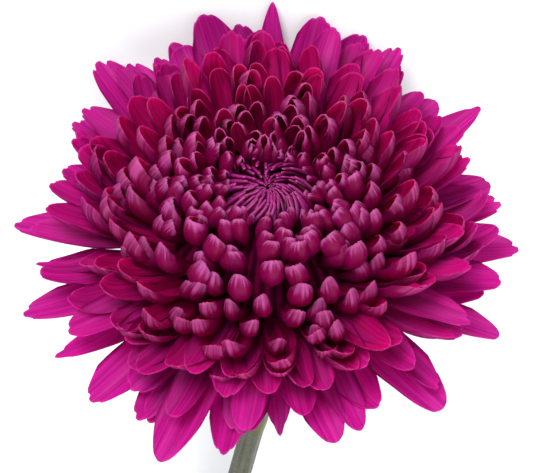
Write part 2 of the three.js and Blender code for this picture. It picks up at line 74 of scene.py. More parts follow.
# Ray florets from the innermost (age under 0) to the outermost (age 1). The rows are: how far from
# the axis and how high over the receptacle the tip reaches; how the blade bends and how its tip
# hooks inward; half its flat width; how far it is rolled, and from which share of the length it is
# open; where the claw ends and where the blade is widest; how much it narrows past that; how it
# leans from the surface; how deep the rounded tip is as a share of the length; how far the end
# closes like a ball; and how far the rim of the tip turns in
FLORET_KEYS = {
    "age":    (-0.11, 0.00, 0.08, 0.16, 0.25, 0.33, 0.42, 0.50, 0.60, 0.70, 0.80, 0.90, 1.00),
    "reach":  (7.8, 9.8, 12.2, 15.2, 18.4, 21.8, 26.8, 32.0, 39.0, 45.0, 50.5, 55.5, 60.0),
    "height": (23.6, 25.0, 26.4, 27.4, 27.7, 27.6, 26.8, 25.6, 24.0, 21.5, 17.0, 10.0, 2.0),
    "bend":   (-26, -30, -34, -38, -42, -44, -44, -42, -36, -28, -16, -4, 8),
    "hook":   (-92, -84, -74, -66, -60, -56, -54, -52, -46, -38, -28, -16, -6),
    "half":   (2.5, 3.4, 4.7, 5.7, 6.2, 6.2, 5.9, 5.7, 5.7, 5.7, 5.6, 5.4, 5.3),
    "cup":    (172, 170, 160, 146, 138, 132, 120, 106, 90, 72, 54, 40, 26),
    "closed": (0.85, 0.85, 0.84, 0.82, 0.78, 0.72, 0.66, 0.60, 0.54, 0.48, 0.44, 0.40, 0.40),
    "claw":   (0.40, 0.44, 0.50, 0.52, 0.50, 0.44, 0.38, 0.32, 0.28, 0.25, 0.25, 0.25, 0.25),
    "widest": (0.82, 0.83, 0.84, 0.85, 0.85, 0.83, 0.80, 0.76, 0.72, 0.69, 0.66, 0.64, 0.62),
    "taper":  (0.20, 0.20, 0.24, 0.28, 0.32, 0.34, 0.36, 0.36, 0.34, 0.30, 0.28, 0.26, 0.25),
    "lean":   (0, 0, 1, 3, 6, 9, 13, 16, 18, 19, 19, 18, 17),
    "tip":    (0.02, 0.02, 0.03, 0.05, 0.08, 0.12, 0.15, 0.17, 0.18, 0.17, 0.16, 0.16, 0.17),
    "ball":   (0.98, 0.98, 0.97, 0.95, 0.92, 0.85, 0.70, 0.45, 0.20, 0.05, 0.00, 0.00, 0.00),
    "curl":   (0.2, 0.3, 0.5, 0.7, 0.9, 1.0, 1.1, 1.2, 1.1, 0.8, 0.5, 0.2, 0.1),
}

# Ray florets are numbered from the first knob, at the youngest age, to the count, at age 1, and
# age grows with a power of the number's share. On the receptacle the eye takes up the places
# before number 0.
FIRST_KNOB = -30
RAY_COUNT = 350
AGE_POWER = 0.8
EYE_ORDER = 70

# Towards the surface: what is added to the share of the hook, for young and for older florets; how
# much the spoons there are slimmer; and the ages between which every second floret is left out
UNDER_HOOK = (-0.3, -0.8)
UNDER_OPEN = 0.28
UNDER_SPARSE = (0.04, 0.34)

# The outermost florets one by one, round the bloom: azimuth, length, half width, tip depth and
# roll. They stand at two ages in turn, so that neighbours lie over and under each other.
OUTER_RING = (
    (89, 69, 4.0, 0.30, 0), (77, 59, 6.2, 0.13, 4), (67, 59, 6.0, 0.13, -4), (55, 55, 5.4, 0.13, 6),
    (41, 50, 5.2, 0.13, -8), (30, 56, 5.8, 0.26, 6), (14, 49, 6.2, 0.13, -6), (5, 50, 6.2, 0.13, 8),
    (356, 53, 6.6, 0.16, 0), (344, 50, 6.8, 0.13, -6), (334, 53, 5.4, 0.17, 4), (328, 46, 6.0, 0.13, 0),
    (312, 53, 7.0, 0.14, -4), (292, 49, 5.6, 0.20, 8), (283, 40, 5.4, 0.13, 0), (273, 46, 4.6, 0.34, 165),
    (263, 44, 6.6, 0.13, 4), (248, 58, 6.8, 0.20, -6), (240, 48, 5.8, 0.17, 8), (233, 45, 5.8, 0.13, 0),
    (226, 52, 6.4, 0.15, -8), (215, 53, 4.6, 0.28, 10), (200, 54, 5.8, 0.19, 0), (191, 49, 4.6, 0.30, -10),
    (178, 54, 6.4, 0.19, 4), (164, 46, 6.0, 0.13, 0), (148, 51, 6.2, 0.13, -6), (135, 57, 6.6, 0.13, 8),
    (127, 54, 5.6, 0.13, -4), (122, 50, 5.2, 0.16, 0), (114, 56, 5.2, 0.20, 14), (106, 60, 7.0, 0.14, 0),
    (97, 60, 5.6, 0.14, -6),
)
RING_AGES = (0.97, 0.92)

# The numbers before which the inner, the middle and all florets of the rule end
INNER_END = 108
MIDDLE_END = 214
RULE_END = RAY_COUNT - len(OUTER_RING)

# Where along a floret its hook, turned-in rim, cap and crease lie, as shares of its length; the
# share of the hook that its aim makes up for; and the steps of its midline
HOOK_START = 0.70
HOOK_END = 0.98
CURL_START = 0.72
CAP_START = 0.80
CREASE_START = 0.80
HOOK_AIM = 0.18
STEPS = 60

# Across a blade, as shares of half its width: where the side grooves and the tip's notches lie and
# how wide they are, and the widths of the middle groove and of the crease in a closed end
GROOVE_PLACE = 0.36
GROOVE_WIDTH = 0.13
NOTCH_PLACE = 0.34
NOTCH_WIDTH = 0.12
MIDDLE_WIDTH = 0.12
CREASE_WIDTH = 0.10

# Width of the claw as a share of the blade's, and how far the claw and any blade may be rolled
CLAW_SHARE = 0.24
CLAW_ROLL = math.radians(80)
FULL_ROLL = math.radians(174)

# How far apart the noise of one floret and of the next lies, for ray florets and for the eye's
RAY_SEED = 0.731
EYE_SEED = 0.613

# Lowest height of a skin, and the height under which skins ease down to that
LEAST_GAP = 0.05
LOW_SKIN = 0.6

# Eye: its dome, how far its florets turn round the axis and are rolled, and how thick they are
EYE_RADIUS = 10.6
EYE_RISE = 5.0
EYE_HEIGHT = 17.5
EYE_SWIRL = 22.0
EYE_ROLL = math.radians(95)
EYE_THICKNESS = 0.25

# Heart of packed floret tubes, as radius and height over the receptacle; how it leans past the
# radius where it stands upright; and its flutes, with the radius where they reach their depth
HEART_PROFILE = (
    (0, 0.4), (9, 0.3), (15, 0.8), (22, 2.4), (25, 5.0), (23, 9.5), (19, 13.5), (12, 16), (0, 17.5),
)
CORE_LEAN = 0.32
CORE_UPRIGHT = 8.0
FLUTE_COUNT = 48
FLUTE_DEPTH = 0.35
FLUTE_START = 8.0

# Cup of bracts, as radius and height over the receptacle
CUP_PROFILE = ((0, -9.5), (2.4, -9.5), (4.6, -7.4), (7.2, -3.4), (8.6, -1.2), (8.6, -0.3), (0, -0.3))

# Bracts: how far from the axis one would start at the receptacle's height, and how much that grows
# with height; how thick they are; and their rows
BRACT_FOOT = 5.5
BRACT_FOOT_SLOPE = 0.35
BRACT_THICKNESS = 0.45
BRACT_ROWS = (
    {"count": 13, "root": -8.2, "tip": -5.2, "reach": 8.2, "half": 1.9},
    {"count": 15, "root": -6.6, "tip": -3.6, "reach": 9.6, "half": 2.0},
    {"count": 17, "root": -4.6, "tip": -2.3, "reach": 10.6, "half": 2.0},
)

# Stem: its line is an arc from the axis's slope to a gentle one where it meets the surface, with
# a lean to the left past its upper node. Places along it are measured from the receptacle.
STEM_START = 9.8
STEM_END_RISE = math.radians(6)
STEM_RADIUS = 2.9
STEM_PRESS = 0.15
NECK_RADIUS = 2.1
NECK_LENGTH = 50.0
NODE_PLACE = 50.0
NODE_SOFTNESS = 12.0
NODE_LEAN = math.radians(12)
RIB_COUNT = 6
RIB_DEPTH = 0.18
FINE_DEPTH = 0.05
SCARS = (
    {"along": 59, "azimuth": 60, "length": 5.5, "height": 0.9},
    {"along": 98, "azimuth": 200, "length": 6.0, "height": 0.8},
    {"along": 138, "azimuth": 330, "length": 6.0, "height": 0.8},
)
BUD_SCAR = {"along": 64.5, "azimuth": 300, "length": 2.8, "height": 0.55, "dry": 0.46}
STEM_STATIONS = 260
STEM_SIDES = 72
STREAK_LENGTH = 12.0

# The drop from the stem's top to its end gives the radius of its arc, and that its length
STEM_TOP = RECEPTACLE - AXIS * STEM_START
STEM_DROP = STEM_TOP[2] - (STEM_RADIUS - STEM_PRESS) * math.cos(STEM_END_RISE)
STEM_ARC = STEM_DROP / (math.cos(STEM_END_RISE) - math.cos(AXIS_RISE))
STEM_LENGTH = STEM_ARC * (AXIS_RISE - STEM_END_RISE)

# Cut end of the stem: lengths before the end and how far the skin stands in there, and the rings
# of the cut face as shares of its radius
CUT_BEVEL = ((0.4, 0.0), (0.15, 0.12), (0.0, 0.4))
CUT_RINGS = (0.8, 0.55, 0.3, 0.12)

# Hairs: half their width, how deep their roots are, and how far they lean at random
HAIR_RADIUS = 0.035
HAIR_ROOT = 0.05
HAIR_LEAN = 0.35

# Lowest heights of the stem's skin and of its hairs
STEM_GAP = 0.02
HAIR_GAP = 0.01

# Shades that no user setting holds, as red, green and blue. The first of a pair is for young
# florets, for between the tubes, or for the darker streaks or pores, and the second for the rest.
# Lilac patches: partly random tone, partly painted sheen
LILAC_SHEEN_PATCHES = (0.42, 0.01, 0.30), (0.74, 0.10, 0.50)
# Margins: painted shade over the thin edges that catch the light
PAINTED_MARGIN_SHADES = (0.08, 0.0, 0.026), (0.20, 0.0, 0.085)
GLOW = (0.86, 0.002, 0.24), (0.84, 0.02, 0.46)
# Pale rim: painted highlight at the young tips
PALE_RIM_HIGHLIGHT = (0.66, 0.18, 0.48)
# Tube shades: painted shade of the bloom's depths, darker still between the tubes
TUBE_PAINTED_SHADES = (0.03, 0.0002, 0.010), (0.11, 0.001, 0.030)
BRACT_STREAKS = (0.05, 0.09, 0.02), (0.30, 0.36, 0.16)
STEM_STREAKS = (0.050, 0.054, 0.035), (0.19, 0.19, 0.15)
HAIR_GREEN = (0.42, 0.44, 0.34)
HAIR_STREAKS = (0.34, 0.36, 0.28), (0.6, 0.6, 0.5)
DRY_OLIVE = (0.090, 0.092, 0.018)
DRY_BROWN = (0.07, 0.04, 0.014)
PITH = (0.30, 0.32, 0.16), (0.52, 0.50, 0.32)

# Depth of the fine threads and streaks that the shaders add to a skin, in metres
BUMP_DEPTH = 0.12 * MM

# Lights: where each stands and how wide it is, in metres, and the colour of the even light
KEY_LIGHT = {"place": (-0.25, 0.75, 0.50), "size": 0.5}
FILL_LIGHT = {"place": (0.3, -0.2, 0.7), "size": 1.1}
SKY_COLOUR = (0.95, 0.97, 1.0, 1.0)

# Camera: the picture's frame, and the pixel where the receptacle shows
PICTURE = (538, 473)
RECEPTACLE_PIXEL = (268, 247)


def colour_setting(name, description, value):
    """A colour that a user would change."""
    return bpy.props.FloatVectorProperty(
        name=name, description=description, subtype="COLOR", default=value)


def length_setting(name, description, value, precision=5):
    """A length that a user would change."""
    return bpy.props.FloatProperty(
        name=name, description=description, default=value, unit="LENGTH", precision=precision)


class ChrysanthemumFlorets(bpy.types.PropertyGroup):
    """Sizes and colours of the florets."""

    eye_count: bpy.props.IntProperty(
        name="Eye florets", description="Closed florets over the eye", default=110, min=8)
    thickness: length_setting("Blade", "Thickness of a blade at its middle", 0.42 * MM)
    groove: length_setting("Grooves", "Depth of the lengthwise grooves", 0.28 * MM)
    # Face and back run darker towards the root: partly the blade's own crimson and partly painted shade
    # deep in the bloom
    face_low: colour_setting("Face, low", "Inner face near the root", (0.21, 0.0006, 0.034))
    face_high: colour_setting("Face, high", "Inner face near the tip", (0.66, 0.0022, 0.150))
    back_low: colour_setting("Back, low", "Back near the root", (0.16, 0.0003, 0.038))
    back_high: colour_setting("Back, high", "Back past the middle", (0.21, 0.0003, 0.062))
    # The frost at the tip is partly the back's paler lilac and partly a painted highlight
    back_tip: colour_setting("Back, tip", "Frost on the back at the tip", (0.64, 0.13, 0.48))
    # Eye florets: dark at their sides as painted shade, pale along the middle as a painted highlight
    eye_low: colour_setting("Eye, low", "Eye florets at their sides", (0.08, 0.0, 0.030))
    eye_tip: colour_setting("Eye, crest", "Eye florets along the middle", (0.45, 0.022, 0.26))
    outer: colour_setting("Outer ring", "Blades of the outermost florets", (0.58, 0.014, 0.34))
    outer_back: colour_setting("Outer ring, back", "Backs of the outermost florets", (0.36, 0.020, 0.24))


class ChrysanthemumGreens(bpy.types.PropertyGroup):
    """Sizes and colours of the bracts and the stem."""

    stem_green: colour_setting("Stem", "Skin of the stem", (0.082, 0.084, 0.054))
    bract_green: colour_setting("Bracts", "Middle of a bract", (0.11, 0.17, 0.04))
    hair_count: bpy.props.IntProperty(
        name="Hairs", description="Hairs on the stem", default=2600, min=0)
    hair_length: length_setting("Hair length", "Mean length of a hair", 0.38 * MM)


class ChrysanthemumStage(bpy.types.PropertyGroup):
    """The floor, the lights and the camera."""

    floor_colour: colour_setting("Floor", "Colour of the plain floor", (0.72, 0.73, 0.745))
    view_tilt: bpy.props.FloatProperty(
        name="View tilt", description="Angle between the view and the bloom's axis",
        default=math.radians(43), subtype="ANGLE")
    distance: length_setting("Distance", "From the camera to the bloom", 0.55)
    pixel: length_setting("Pixel", "Real size of a pixel at the bloom", 0.2475 * MM, 7)
    key_power: bpy.props.FloatProperty(
        name="Key light", description="Power of the large light", default=9.5)
    fill_power: bpy.props.FloatProperty(
        name="Fill light", description="Power of the second light", default=10.5)
    sky: bpy.props.FloatProperty(
        name="Sky", description="Strength of the even light", default=0.62)


def smooth(x):
    """Eases from 0 to 1: three times the square less twice the cube, held outside 0 and 1."""
    x = np.clip(x, 0, 1)
    return x * x * (3 - 2 * x)


def bell(x):
    """1 at 0, falling off on both sides: e to the power of minus the square."""
    return np.exp(-(x**2))


def draw(k, channel):
    """A repeatable draw from -1 to 1: the fraction of a large sine of the floret's number."""
    x = np.sin(k * 12.9898 + channel * 78.233) * 43758.5453
    return (x - np.floor(x)) * 2 - 1


def keyed(name, age):
    """The value of one key at each age, in straight steps between the columns of the table."""
    return np.interp(age, FLORET_KEYS["age"], FLORET_KEYS[name])


def radial_at(azimuth):
    """Directions away from the axis: across at azimuth 0, towards the surface at a quarter turn."""
    return np.cos(azimuth)[..., None] * ACROSS + np.sin(azimuth)[..., None] * UNDER


def from_axis(radius, azimuth, height):
    """Places at a radius, an azimuth and a height over the receptacle."""
    return RECEPTACLE + radius[..., None] * radial_at(azimuth) + height[..., None] * AXIS


def rule_florets(first, last):
    """Traits of the florets that grow by the golden angle, from number first up to last. Age grows
    with a power of the floret's share of the whole order. Towards the surface, where the young
    florets stand open, every second one between the ages of UNDER_SPARSE is left out."""
    k = np.arange(first, last)
    share = (k + 0.5 - FIRST_KNOB) / (RAY_COUNT - FIRST_KNOB)
    youngest = FLORET_KEYS["age"][0]
    age = youngest + (1 - youngest) * share**AGE_POWER
    azimuth = k * GOLDEN_ANGLE + 0.09 * draw(k, 1)
    crowded = (np.sin(azimuth) > 0.4) & (age > UNDER_SPARSE[0]) & (age < UNDER_SPARSE[1])
    kept = ~crowded | (k % 2 == 1)
    return floret_traits(k[kept], age[kept], azimuth[kept])


def ring_florets():
    """Traits of the outermost florets, with azimuth, length, width, tip and roll of their own."""
    azimuth, length, half, tip, roll = np.array(OUTER_RING, float).T
    k = np.arange(RULE_END, RAY_COUNT)
    age = np.resize(RING_AGES, len(k))
    traits = floret_traits(k, age, np.radians(azimuth), stray=0.0)
    traits.update(length=length, half=half, tip=tip, roll=np.radians(roll))
    return traits


def side_changes(age, under):
    """How the side that a floret grows on changes it, from its age and from how far it leans to
    the surface (1) or away from it (-1). Far and beside are the shares towards the surface and to
    neither side. Far florets are plump buds while young, then slim open spoons that hook outward.
    Near ones, away from the surface, swell to round ends and then close into thumbs."""
    far = np.clip(under, 0, 1)
    beside = np.clip(1 - 1.4 * np.abs(under), 0, 1)
    grown = smooth((age - 0.02) / 0.2)
    slim = UNDER_OPEN * far * grown * (1 - smooth((age - 0.45) / 0.2))
    near = np.clip(-under, 0, 1)
    round_end = near * smooth((age - 0.2) / 0.12) * (1 - smooth((age - 0.36) / 0.12))
    thumb = near * smooth((age - 0.3) / 0.12) * (1 - smooth((age - 0.55) / 0.15))
    plump = (1 + 0.6 * far * (1 - grown)) * (1 + 0.32 * round_end) * (1 - 0.1 * thumb)
    hooked = 1 + far * (UNDER_HOOK[0] + (UNDER_HOOK[1] - UNDER_HOOK[0]) * grown) + 0.5 * thumb
    return far, beside, slim, plump, thumb, hooked


def floret_traits(k, age, azimuth, stray=1.0):
    """Everything that sets one floret apart from the next, each from the keys at its age, the
    changes of its side and a draw of its own. The aim is the angle from the axis to the tip as
    seen from the root. The draws that move the tip are scaled by how far a floret may stray."""
    reach_age = np.clip(age + 0.014 * stray * draw(k, 11), FLORET_KEYS["age"][0], 1)
    order = (EYE_ORDER + k) / (EYE_ORDER + RAY_COUNT)
    root_radius = RECEPTACLE_RADIUS * np.sqrt(order)
    root_height = RECEPTACLE_DOME * (1 - order)
    out = keyed("reach", reach_age) - root_radius
    up = keyed("height", reach_age) - root_height
    under = np.sin(azimuth)
    far, beside, slim, plump, thumb, hooked = side_changes(age, under)
    bend = np.radians(keyed("bend", age) + 9 * stray * draw(k, 4))
    hook = np.radians(keyed("hook", age) * hooked + 20 * stray * draw(k, 5))
    lean = keyed("lean", age) * under - (2 + 2.5 * age) * stray * draw(k, 3)
    stretch = (1 + 0.07 * draw(k, 2)) * (1 + 0.045 * under * age) * (1 + bend**2 / 24)
    grown_up = np.clip(age, 0, 1)
    half = keyed("half", age) * (1 - slim) * plump
    cup = keyed("cup", age) * (1 - slim) * (1 + 0.18 * thumb)
    cap = 1.8 * far * smooth((age - 0.12) / 0.3) + 1.3 * beside * smooth((age - 0.4) / 0.15)
    cap = cap * (1 - 0.85 * smooth((age - 0.75) / 0.2))
    return {
        "k": k, "age": age, "azimuth": azimuth, "bend": bend, "hook": hook,
        "root_radius": root_radius, "root_height": root_height,
        "aim": np.arctan2(out, up) - np.radians(lean) - HOOK_AIM * hook,
        "length": np.hypot(out, up) * stretch + 1.7 * np.abs(hook),
        "half": half * (1 + (0.16 - 0.08 * grown_up) * draw(k, 6)),
        "cup": np.radians(cup * (1 + 0.12 * draw(k, 7))),
        "closed": keyed("closed", age) + 0.08 * thumb,
        "claw": keyed("claw", age),
        "widest": keyed("widest", age) - 0.08 * far,
        "taper": (keyed("taper", age) + 0.3 * slim) * (1 + 0.15 * draw(k, 17)),
        "tip": keyed("tip", age) * (1 + 0.2 * draw(k, 8)) * (1 - 0.3 * far) + 0.1 * slim,
        "ball": keyed("ball", age) * (1 - 2 * slim),
        "cap": cap * (1 + 0.4 * draw(k, 18)),
        "curl": keyed("curl", age) * (1 + 0.3 * draw(k, 12)),
        "roll": np.radians((34 - 24 * grown_up) * draw(k, 9)),
        "side": np.radians(7 * stray * draw(k, 10)),
        "skew": 1.2 * draw(k, 13),
        "twist": np.radians(24 * draw(k, 14)) * age,
        "notch": 0.016 * (1 + draw(k, 15)) * smooth((age - 0.55) / 0.3),
        "wave": 0.35 * (1 + draw(k, 16)) * age**2,
        "gap": FLOOR_GAP + FLOOR_PILE * np.clip(1 - age, 0, 0.2),
    }


def settle(z, gap):
    """Eases heights z so that none goes under the gap: a parabola over twice the softness joins
    the height itself to the flat gap. Gives the heights and their slopes."""
    over = z - gap + FLOOR_SOFTNESS
    eased = gap + over**2 / (4 * FLOOR_SOFTNESS)
    height = np.where(over >= 2 * FLOOR_SOFTNESS, z, np.where(over <= 0, gap, eased))
    return height, np.clip(over / (2 * FLOOR_SOFTNESS), 0, 1)


def unit(v):
    """Vectors at length 1."""
    return v / np.maximum(np.linalg.norm(v, axis=-1, keepdims=True), 1e-9)


def midlines(f):
    """The midline of each floret in STEPS equal steps. Its way makes an angle with the axis that
    turns evenly by the bend and, from HOOK_START to HOOK_END, by the hook, and strays sideways.
    The places are the sum of the ways, eased over the surface. The inner face's normal stands
    square to the way, and turns round it by the roll and the twist."""
    s = np.linspace(0, 1, STEPS + 1)
    past = smooth((s - HOOK_START) / (HOOK_END - HOOK_START))
    angle = f["aim"][:, None] + f["bend"][:, None] * (s - 0.5) + f["hook"][:, None] * past
    stray = 2 * f["side"][:, None] * s
    radial = radial_at(f["azimuth"])[:, None]
    around = radial_at(f["azimuth"] + math.pi / 2)[:, None]
    way = ((np.sin(angle) * np.cos(stray))[..., None] * radial + np.sin(stray)[..., None] * around
           + (np.cos(angle) * np.cos(stray))[..., None] * AXIS)
    root = from_axis(f["root_radius"], f["azimuth"], f["root_height"])[:, None]
    steps = way[:, 1:] * (f["length"] / STEPS)[:, None, None]
    place = np.concatenate([root, root + np.cumsum(steps, 1)], 1)
    height, slope = settle(place[..., 2], f["gap"][:, None])
    place[..., 2] = height
    way[..., 2] *= slope
    way = unit(way)
    face = -np.cos(angle)[..., None] * radial + np.sin(angle)[..., None] * AXIS
    face = unit(face - (face * way).sum(-1, keepdims=True) * way)
    side = np.cross(face, way)
    turn = (f["roll"][:, None] + f["twist"][:, None] * (s - 0.4))[..., None]
    return place, face * np.cos(turn) + side * np.sin(turn), side * np.cos(turn) - face * np.sin(turn)


def along(line, s):
    """Values of a midline at shares s of its length, in straight steps."""
    x = np.clip(s, 0, 1) * STEPS
    i = np.minimum(x.astype(int), STEPS - 1)
    part = (x - i)[..., None]
    n = np.arange(len(line))[:, None, None]
    return line[n, i] * (1 - part) + line[n, i + 1] * part


def blade_grid(rows, columns):
    """Shares along (0 to 1, closer near the tip) and across (-1 to 1, closer near the rims)."""
    u = 1 - (1 - np.linspace(0, 1, rows)) ** 1.4
    v = np.sin(np.linspace(-1, 1, columns) * math.pi / 2 * 0.8) / math.sin(math.pi / 2 * 0.8)
    return np.meshgrid(u, v, indexing="ij")


def even_grid(rows, columns):
    """Even shares along (0 to 1) and across (-1 to 1)."""
    return np.meshgrid(np.linspace(0, 1, rows), np.linspace(-1, 1, columns), indexing="ij")


def floret_blades(f, rows, columns, sizes):
    """Upper and lower skin of each floret, in millimetres.

    Across a floret the blade is an arc of its flat width, rolled by an angle each way; the claw is
    rolled nearly shut. The flat width grows from the claw to the widest place and narrows to the
    tip by a square, and by the root of one less a fifth power where the end closes like a ball.
    The tip's outline is a rounded end with a tooth between two shallow notches. Grooves lie
    lengthwise at the middle and a third of the way to each rim, and a deeper crease parts the end
    of a ball. The rim of the tip turns in by a power of the share past its start, in a narrower
    cap too where there is one, and the margins of older florets wave.
    """
    wide = {name: value[:, None, None] for name, value in f.items()}
    place, face, side = midlines(f)
    u, v = blade_grid(rows, columns)
    power = 3.0 - 6.5 * np.clip(wide["tip"] - 0.12, 0, 0.24)
    outline = 1 - wide["tip"] * np.abs(v) ** power
    outline = outline - wide["notch"] * bell((np.abs(v) - NOTCH_PLACE) / NOTCH_WIDTH)
    s = u * outline
    claw, widest = wide["claw"], wide["widest"]
    grown = smooth((s - claw) / (widest - claw)) ** 1.15
    flat = wide["half"] * (CLAW_SHARE + (1 - CLAW_SHARE) * grown)
    past = np.clip((s - widest) / (1 - widest), 0, 1)
    flat = flat * (1 - wide["taper"] * past**2) * np.sqrt(1 - wide["ball"] * past**5)
    rolled = wide["cup"] * (0.8 + 0.35 * smooth((s - 0.4) / 0.5))
    opened = smooth((s - wide["closed"] + 0.4) / 0.4)
    rolled = np.minimum(rolled + CLAW_ROLL * (1 - opened), FULL_ROLL)
    turned = v * rolled
    radius = flat / rolled
    grooves = bell((np.abs(v) - GROOVE_PLACE) / GROOVE_WIDTH) + 0.6 * bell(v / MIDDLE_WIDTH)
    lift = -sizes.groove / MM * grooves * smooth(s / 0.4) * wide["half"] / 6
    tip_in = np.clip((u - CURL_START) / (1 - CURL_START), 0, 1) ** 2.5 * (1 - 0.7 * v**2)
    crease = wide["ball"] * bell(v / CREASE_WIDTH) * smooth((s - CREASE_START) / 0.14)
    lift = lift - 0.5 * crease + wide["curl"] * tip_in * (1 + wide["skew"] * v)
    lift = lift + wide["cap"] * np.clip((u - CAP_START) / (1 - CAP_START), 0, 1) ** 4
    ripple = np.sin(2 * math.pi * (2.2 * s + 0.37 * wide["k"]) + 1.5 * v)
    lift = lift + wide["wave"] * ripple * np.abs(v) ** 3 * smooth((s - 0.3) / 0.4)
    middle = (along(place, s) + (radius * np.sin(turned))[..., None] * along(side, s)
              + (radius * (1 - np.cos(turned)) + lift)[..., None] * along(face, s))
    normal = (np.cos(turned)[..., None] * along(face, s) - np.sin(turned)[..., None] * along(side, s))
    thick = sizes.thickness / MM * (1 - 0.8 * v**2) * (1 - 0.35 * u) * np.sqrt(wide["half"] / 6)
    upper = middle + normal * (thick / 2)[..., None]
    lower = middle - normal * (thick / 2)[..., None]
    return off_surface(upper), off_surface(lower), u, v


def off_surface(points):
    """Lifts what would dip under the surface: a height below LOW_SKIN falls off towards LEAST_GAP
    by an exponential that joins the height itself smoothly."""
    z = points[..., 2]
    span = LOW_SKIN - LEAST_GAP
    eased = LEAST_GAP + span * np.exp((np.minimum(z, LOW_SKIN) - LOW_SKIN) / span)
    points[..., 2] = np.where(z < LOW_SKIN, eased, z)
    return points


def skins(upper, lower):
    """One closed mesh from the upper and lower grids of many blades: the quads of both skins, and
    a ring of quads round the rim that joins them. Gives vertices in metres and quads."""
    count, rows, columns, _ = upper.shape
    each = rows * columns
    index = np.arange(each).reshape(rows, columns)
    a, b, c, d = index[:-1, :-1], index[:-1, 1:], index[1:, 1:], index[1:, :-1]
    top = np.stack([a, d, c, b], -1).reshape(-1, 4)
    bottom = np.stack([a, b, c, d], -1).reshape(-1, 4) + each
    loop = np.concatenate([index[0, :-1], index[:-1, -1], index[-1, :0:-1], index[:0:-1, 0]])
    after = np.roll(loop, -1)
    rim = np.stack([loop, after, after + each, loop + each], -1)
    quads = np.concatenate([top, bottom, rim])
    quads = (quads + (np.arange(count) * 2 * each)[:, None, None]).reshape(-1, 4)
    points = np.concatenate([upper.reshape(count, each, 3), lower.reshape(count, each, 3)], 1)
    return points.reshape(-1, 3) * MM, quads


def blade_values(u, v, count, **per_blade):
    """Values at the vertices of skins(): the shares along and across, 1 on the upper skin, and for
    every name given one value for each blade or one for them all."""
    each = u.size
    values = {
        "along": np.tile(np.tile(u.ravel(), 2), count),
        "across": np.tile(np.tile(v.ravel(), 2), count),
        "face": np.tile(np.repeat([1.0, 0.0], each), count),
    }
    for name, value in per_blade.items():
        values[name] = np.repeat(np.broadcast_to(value, count), 2 * each)
    return values


def turned_profile(profile, stations, sides):
    """Radius, azimuth and height of the rings that a profile makes when it is turned round the
    axis. Each straight side of the profile gets the same share of the stations, and the turns
    are even."""
    known = np.array(profile, float)
    at = np.linspace(0, len(known) - 1, stations)
    radius, height = (np.interp(at, np.arange(len(known)), column) for column in known.T)
    turn = np.linspace(0, 2 * math.pi, sides, endpoint=False)
    r, azimuth = np.meshgrid(radius, turn, indexing="ij")
    return r, azimuth, np.broadcast_to(height[:, None], r.shape)


def revolved(rings, start, end):
    """A closed mesh from rings of points, with a fan of quads to a pole at each end: the pole is
    joined to three ring points at a time. Gives vertices in metres and quads."""
    count, sides, _ = rings.shape
    i = np.arange(sides)
    j = (i + 1) % sides
    r = np.arange(count - 1)[:, None] * sides
    body = np.stack([r + i, r + j, r + sides + j, r + sides + i], -1).reshape(-1, 4)
    even = np.arange(0, sides, 2)
    first, last = count * sides, count * sides + 1
    cap = np.stack([np.full_like(even, first), (even + 2) % sides, even + 1, even], -1)
    tail = (count - 1) * sides
    foot = np.stack([np.full_like(even, last), tail + even, tail + even + 1, tail + (even + 2) % sides], -1)
    points = np.concatenate([rings.reshape(-1, 3), [start], [end]])
    return points * MM, np.concatenate([body, cap, foot])


def add_mesh(name, points, quads, values, material):
    """Makes a mesh object at the origin from vertices, faces and vertex values. It is smooth but
    for the rims between two skins, where the value of the face changes within a quad."""
    mesh = bpy.data.meshes.new(name)
    mesh.vertices.add(len(points))
    mesh.vertices.foreach_set("co", points.astype(np.float32).ravel())
    mesh.loops.add(quads.size)
    mesh.loops.foreach_set("vertex_index", quads.astype(np.int32).ravel())
    mesh.polygons.add(len(quads))
    mesh.polygons.foreach_set("loop_start", np.arange(0, quads.size, quads.shape[1], dtype=np.int32))
    level = values["face"][quads].mean(1) if "face" in values else np.zeros(len(quads))
    mesh.polygons.foreach_set("use_smooth", level % 1 == 0)
    for key, value in values.items():
        mesh.attributes.new(key, "FLOAT", "POINT").data.foreach_set("value", value.astype(np.float32))
    mesh.update(calc_edges=True)
    if mesh.validate():
        raise RuntimeError(f"the mesh of {name} isn't sound")
    mesh.materials.append(material)
    obj = bpy.data.objects.new(name, mesh)
    bpy.context.scene.collection.objects.link(obj)
    return obj


def stand_for(obj, node):
    """Lets a piece ride on the flower's one body and stand for a node of the frame."""
    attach(obj, "root")
    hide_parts(node)


